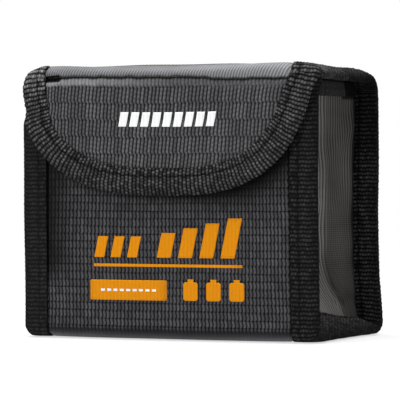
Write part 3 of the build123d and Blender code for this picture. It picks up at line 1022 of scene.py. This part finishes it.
def flap_edge():
    """Edge of the lid's front half and of the flap, from right to left, as one line."""
    lid_s = np.linspace(s_mid_lid, s_crease, 80)
    drop = crease_z - flap_low
    turn = np.linspace(0, math.pi, 400)[1:-1]
    c, v = np.cos(turn), np.sin(turn)
    power = np.where(c > 0, RIGHT_POWER, LEFT_POWER)
    down = drop * v ** (2 / power)
    taper = np.where(c > 0, RIGHT_TAPER, LEFT_TAPER)
    x = (half_width - taper * down) * np.sign(c) * np.abs(c) ** (2 / power)
    s = s_crease + down
    edge = np.concatenate([beside(half_width, lid_s), beside(x, s),
                           beside(-half_width, lid_s[::-1])])
    length = run_length(edge)
    edge = taken_at(np.linspace(0, length[-1], 700), length, edge)
    tangent = unit(np.gradient(edge, axis=0))
    return edge, beside(-tangent[:, 1], tangent[:, 0])


def seam_shade(s):
    """The seams' tape is paler from underneath on, and up the back."""
    return 1 + 0.35 * ease(s, front_run - 8, front_run + 4)


def seam_wear(clear):
    """How clearly the seams' cords show: the front's are matted, the others crisp."""
    return lambda s: clear + (1 - clear) * ease(s, front_run - 6, front_run + 4)


def hem_shade(t):
    """The side hem's rear end lies in the dark, under the rear seam's tape."""
    return 1.7 - 1.2 * ease(t, 53.5, 54.5)


def sewn_tape(label, node, edge, inward, material, depth, by, **look):
    """Tape over an edge of the strip, and the stitches that hold it."""
    tape = channel(f"{label}_tape", place_strip, edge, inward, material, **look)
    carry(tape, f"{node}_binding", by)
    line = edge + inward * (tape_width - STITCH_INSET)
    carry(stitches(f"{label}_stitches", place_strip, line, thread, depth),
          f"{node}_thread", by)


def make_seams():
    """Tape and stitches along the edges of front, bottom, back and the lid's rear half."""
    for (label, sign), clear in zip(SIDES, (0.8, 0.5)):
        edge, inward = straight(*body_run, sign * half_width, -sign)
        sewn_tape(f"{label}_seam", f"{label}_seam", edge, inward, shaded_tape, -0.05, "bag",
                  shade=seam_shade, wear=seam_wear(clear))
        edge, inward = straight(*lid_run, sign * half_width, -sign)
        sewn_tape(f"{label}_lid", f"{label}_lid", edge, inward, shaded_tape, -0.05, "back",
                  phase=s_back_top)


def make_flap_edge():
    """Tape and stitches round the lid's front half and the flap, and the crease's stitches."""
    edge, inward = flap_edge()
    whole = run_length(edge)[-1]
    corner = whole - (s_crease - s_mid_lid)

    def shade(t):
        """The tape darkens low down, a painted shade where it turns away from the light, darkens
        towards its right end, and is paler at the left corner."""
        paleness = 0.7 * hump(t, corner + 0.5, 7)
        return 0.75 + 0.25 * ease(t, 6, 26) - 0.12 * hump(t, whole / 2, 36) + paleness

    def closeness(t):
        """The cords lie closer where the tape goes straight than round the left curve."""
        return 0.97 - 0.12 * ease(t / whole, 0.55, 0.66)

    sewn_tape("flap_edge", "flap", edge, inward, lit_tape, -0.1, "lip", crown=0.5, fade=0.20,
              finer=closeness, shade=shade)
    x = np.linspace(-fin_start + 0.5, fin_start - 0.5, 60)
    line = beside(x, crease_line(x) - 0.3)
    sewn = stitches("crease_stitches", place_strip, line, thread, 0.10, pitch=FINE_STITCH,
                    thick=0.17)
    carry(sewn, "crease_thread", "lip")


def make_hems():
    """Tape over the top edges of the front and side panels."""
    for label, place, half, edge_place, turn, look in (
            ("front_mouth", place_strip, fin_start - 1.2, -0.4, 1,
             {"outer": -0.55, "inner": 3.8, "width": 8.0, "wear": seam_wear(0.5)}),
            *((f"{side}_mouth", side_place(sign), 30.0, front_top + 2.6, -1,
               {"outer": -0.9, "inner": 1.6, "width": 5.6, "shade": hem_shade,
                "wear": even(0.25)}) for side, sign in SIDES)):
        along = np.linspace(-half, half, 60)
        edge, inward = beside(along, edge_place), beside(0 * along, turn)
        hem = channel(f"{label}_tape", place, edge, inward, shaded_tape, step=0.3, crown=0.1,
                      **look)
        carry(hem, f"{label}_binding", "bag")


# ---------------------------------------------------------------- closure and prints

def nap(a, b):
    """Tufts that stand out from the loop patch."""
    tuft = np.sin(a * 6.1 + 1.3 * np.sin(b * 3.3)) * np.sin(b * 5.3 + a)
    return 0.12 * tuft, 0.5 + 0.5 * tuft


def inner_nap(a, b):
    """The same on the hook patch, which faces inwards."""
    relief, tone = nap(a, b)
    return -relief, tone


def make_closure():
    """The loop patch on the front, the hook patch inside the flap, and their stitches."""
    for name, body, outer, inner, facing, zero, pattern in (
            ("loop", "bag", -1.05, -0.05, -1, front_edge, nap),
            ("hook", "flap", 2.6, 1.8, 1, flap_zero, inner_nap)):
        low, high = node_box(f"{name}_patch")
        s = zero - np.linspace(low[2], high[2], 60)
        x, s = np.meshgrid(np.linspace(low[0], high[0], 170), s)
        patch = sheet(f"{name}_patch_pile", place_strip, x, s, outer, inner, pile, pattern)
        carry(patch, f"{name}_patch", body)
        x0, x1 = low[0] + PATCH_INSET, high[0] - PATCH_INSET
        s0, s1 = s.min() + PATCH_INSET, s.max() - PATCH_INSET
        corners = np.array([(x0, s0), (x1, s0), (x1, s1), (x0, s1), (x0, s0)])
        line = np.concatenate([np.linspace(a, b, 30)[:-1] for a, b in zip(corners, corners[1:])])
        sewn = stitches(f"{name}_stitches", place_strip, line, thread, outer, facing=facing,
                        pitch=FINE_STITCH)
        carry(sewn, f"{name}_thread", body)


# Printed marks, across and up as on the standing bag.
INK = 0.05              # thickness of a printed mark
BAR_FOOT = 28.2
STRIPE_FOOT = 73.5
SHORT_BARS = (3, -26.7, 6.2, 3.8, 7.3, 0.0)     # count, left edge, pitch, width, height, growth
TALL_BARS = (4, -3.2, 7.9, 5.2, 8.6, 1.7)
STRIPES = (9, -16.3, 4.05, 2.9, 5.0, 0.0)
RULE = (0.8, 25.5, 55.4, 1.0)                   # middle across and up, width, height
LABEL = (-13.8, 16.9, 28.7, 7.0, 0.25)          # and its corners' radius
DASH_PITCH = 2.4
DASH = (1.5, 0.8)                               # width, height
BATTERIES = (9.4, 17.9, 26.4)                   # middle across of each battery sign
BATTERY = (16.7, 5.4, 6.4, 0.7)                 # middle up, width, height, radius
BATTERY_CAP = (20.4, 2.2, 1.0)


def mark(shape, zero):
    """Grid of one printed shape, row by row up its outline, on the strip."""
    rows, columns = 14, 9
    z = np.linspace(shape["low"], shape["high"], rows)
    centre, half = shape["outline"](z)
    x = centre[:, None] + half[:, None] * np.linspace(-1, 1, columns)[None, :]
    return x, np.repeat((zero - z)[:, None], columns, axis=1)


def leaning(x, z, width, high, lean=0.2):
    """A bar that leans to the right, from the left end of its foot."""
    return {"low": z, "high": z + high,
            "outline": lambda v: (x + width / 2 + lean * (v - z), np.full(len(v), width / 2))}


def bars(foot, count, left, pitch, width, high, growth):
    """A row of leaning bars, each higher than the one before by the growth."""
    return [leaning(left + pitch * i, foot, width, high + growth * i) for i in range(count)]


def block(x, z, width, high, corner=0.0):
    """An upright block with rounded corners, about its middle."""
    def outline(v):
        up = np.minimum(v - (z - high / 2), z + high / 2 - v)
        cut = np.clip(corner - up, 0, corner)
        return (np.full(len(v), x),
                width / 2 - (corner - np.sqrt(np.maximum(corner ** 2 - cut ** 2, 0))))
    return {"low": z - high / 2, "high": z + high / 2, "outline": outline}


def print_piece(name, shapes, material, depth, zero):
    """All the marks of one print, as thin raised sheets in one mesh."""
    vertices, quads, flats, start = [], [], [], 0
    for shape in shapes:
        x, s = mark(shape, zero)
        rows, columns = x.shape
        size = rows * columns
        for level in (depth, depth + INK):
            vertices.append(place_strip(x.ravel(), s.ravel(), level))
            flats.append(beside(x, s, 0.0))
        quads.append(grid_quads(rows, columns, start, flip=True))
        quads.append(grid_quads(rows, columns, start + size))
        border = np.concatenate([
            np.arange(columns), np.arange(1, rows) * columns + columns - 1,
            (rows - 1) * columns + np.arange(columns - 2, -1, -1),
            np.arange(rows - 2, 0, -1) * columns]) + start
        after = np.roll(border, -1)
        quads.append(beside(border, after, after + size, border + size))
        start += 2 * size
    return make_object(name, np.concatenate(vertices), quads, material, np.concatenate(flats))


def make_prints():
    """Bars, rule, label and battery signs on the front, dashes on the label, stripes on the
    flap."""
    front = [*bars(BAR_FOOT, *SHORT_BARS), *bars(BAR_FOOT, *TALL_BARS), block(*RULE),
             block(*LABEL), *(block(x, *BATTERY) for x in BATTERIES),
             *(block(x, *BATTERY_CAP) for x in BATTERIES)]
    dashes = [block(LABEL[0] + DASH_PITCH * i, LABEL[1], *DASH) for i in range(-4, 5)]
    stripes = bars(STRIPE_FOOT, *STRIPES)
    for label, shapes, ink, slot, depth, zero, body in (
            ("front", front, orange, "orange_print", -0.03, front_edge, "bag"),
            ("label", dashes, white, "white_print", -0.08, front_edge, "bag"),
            ("flap", stripes, white, "white_print", -0.03, flap_zero, "flap")):
        printed = print_piece(f"{label}_marks", shapes, ink, depth, zero)
        carry(printed, f"{label}_print", body)


make_cloth()
make_sides()
make_insides()
make_seams()
make_flap_edge()
make_hems()
make_closure()
make_prints()


# ---------------------------------------------------------------- stage, light and camera

CAMERA_AZIMUTH = math.radians(22.3)
CAMERA_BACK = 944.4     # from the origin, along the view
CAMERA_SIDE = -1.0      # to the right of the origin
CAMERA_HEIGHT = 55.0
CAMERA_LENS = 238.5
CAMERA_SENSOR = 36.0
CAMERA_SHIFT = -0.05    # upwards, as a share of the picture
AMBIENT = 0.20          # sky light on the object; the camera sees plain white

# From here on in metres, and the power in watts.
FLOOR_REACH = 6.0
FLOOR_DROP = 0.0004     # below the bag
FLOOR_GLOW = 0.6        # share of the floor under the bag that shines as a light table does
GLOW_NEAR = 0.10        # where that share starts to grow, and where it is all of the floor
GLOW_FAR = 0.45
LAMP_TARGET = (0, 0, 0.05)
LAMPS = (               # name, place, size, power
    ("top_soft", (0.0, -0.05, 0.85), (0.9, 0.7), 15.0),
    ("front_soft", (-0.35, -0.85, 0.40), (0.35, 0.6), 3.0),
    ("side_soft", (0.85, -0.05, 0.25), (0.3, 0.5), 0.6))


def make_floor():
    """A pale floor that takes the bag's shadow and turns into plain white further off."""
    mesh = bpy.data.meshes.new("floor")
    corners = [(x * FLOOR_REACH, y * FLOOR_REACH, 0)
               for x, y in ((-1, -1), (1, -1), (1, 1), (-1, 1))]
    mesh.from_pydata(corners, [], [(0, 1, 2, 3)])
    floor = add_object("floor", mesh)
    floor.location.z = -FLOOR_DROP
    n = Nodes("pale_floor")
    n.finish(n.mix(n.noise(40.0), (0.86, 0.86, 0.86), (0.88, 0.88, 0.88)), 0.8,
             Specular_IOR_Level=0.2)
    reach = n.node("VectorMath", {0: n.place()}, operation="LENGTH")["Value"]
    spread = {"Value": reach, "From Min": GLOW_NEAR, "From Max": GLOW_FAR, "To Min": FLOOR_GLOW}
    share = n.node("MapRange", spread, interpolation_type="SMOOTHSTEP")[0]
    blend = n.node("MixShader", {0: share, 1: n.shader.outputs[0], 2: n.node("Emission")[0]})
    n.link(blend[0], n.tree.nodes["Material Output"].inputs["Surface"])
    mesh.materials.append(n.material)


def area_light(name, place, size, power):
    lamp = bpy.data.lights.new(name, "AREA")
    lamp.shape = "RECTANGLE"
    lamp.size, lamp.size_y = size
    lamp.energy = power
    obj = add_object(name, lamp)
    obj.location = place
    toward = Vector([b - a for a, b in zip(place, LAMP_TARGET)])
    obj.rotation_euler = toward.to_track_quat("-Z", "Y").to_euler()
    obj.visible_camera = False


def make_light():
    """Three soft lights, and a sky that is dimmer on the bag than to the camera."""
    world = bpy.data.worlds.new("studio")
    bpy.context.scene.world = world
    world.use_nodes = True
    tree = world.node_tree
    seen = tree.nodes.new("ShaderNodeLightPath").outputs["Is Camera Ray"]
    strength = tree.nodes.new("ShaderNodeMapRange")
    strength.inputs["To Min"].default_value = AMBIENT
    strength.inputs["To Max"].default_value = 1.0
    tree.links.new(seen, strength.inputs["Value"])
    background = tree.nodes["Background"]
    background.inputs[0].default_value = (1, 1, 1, 1)
    tree.links.new(strength.outputs[0], background.inputs[1])
    for lamp in LAMPS:
        area_light(*lamp)


def make_camera():
    """A level camera, far off to the right of the front."""
    camera = bpy.data.cameras.new("camera")
    camera.lens = CAMERA_LENS
    camera.sensor_width = CAMERA_SENSOR
    camera.shift_y = CAMERA_SHIFT
    camera.clip_start = 0.05
    camera.clip_end = 20
    obj = add_object("camera", camera)
    right = np.array([math.cos(CAMERA_AZIMUTH), math.sin(CAMERA_AZIMUTH), 0])
    ahead = np.array([-math.sin(CAMERA_AZIMUTH), math.cos(CAMERA_AZIMUTH), 0])
    spot = right * CAMERA_SIDE - ahead * CAMERA_BACK + np.array([0, 0, CAMERA_HEIGHT])
    obj.location = spot * MM
    obj.rotation_euler = (math.pi / 2, 0, CAMERA_AZIMUTH)
    bpy.context.scene.camera = obj


make_floor()
make_light()
make_camera()
bpy.context.scene.view_settings.view_transform = "Standard"
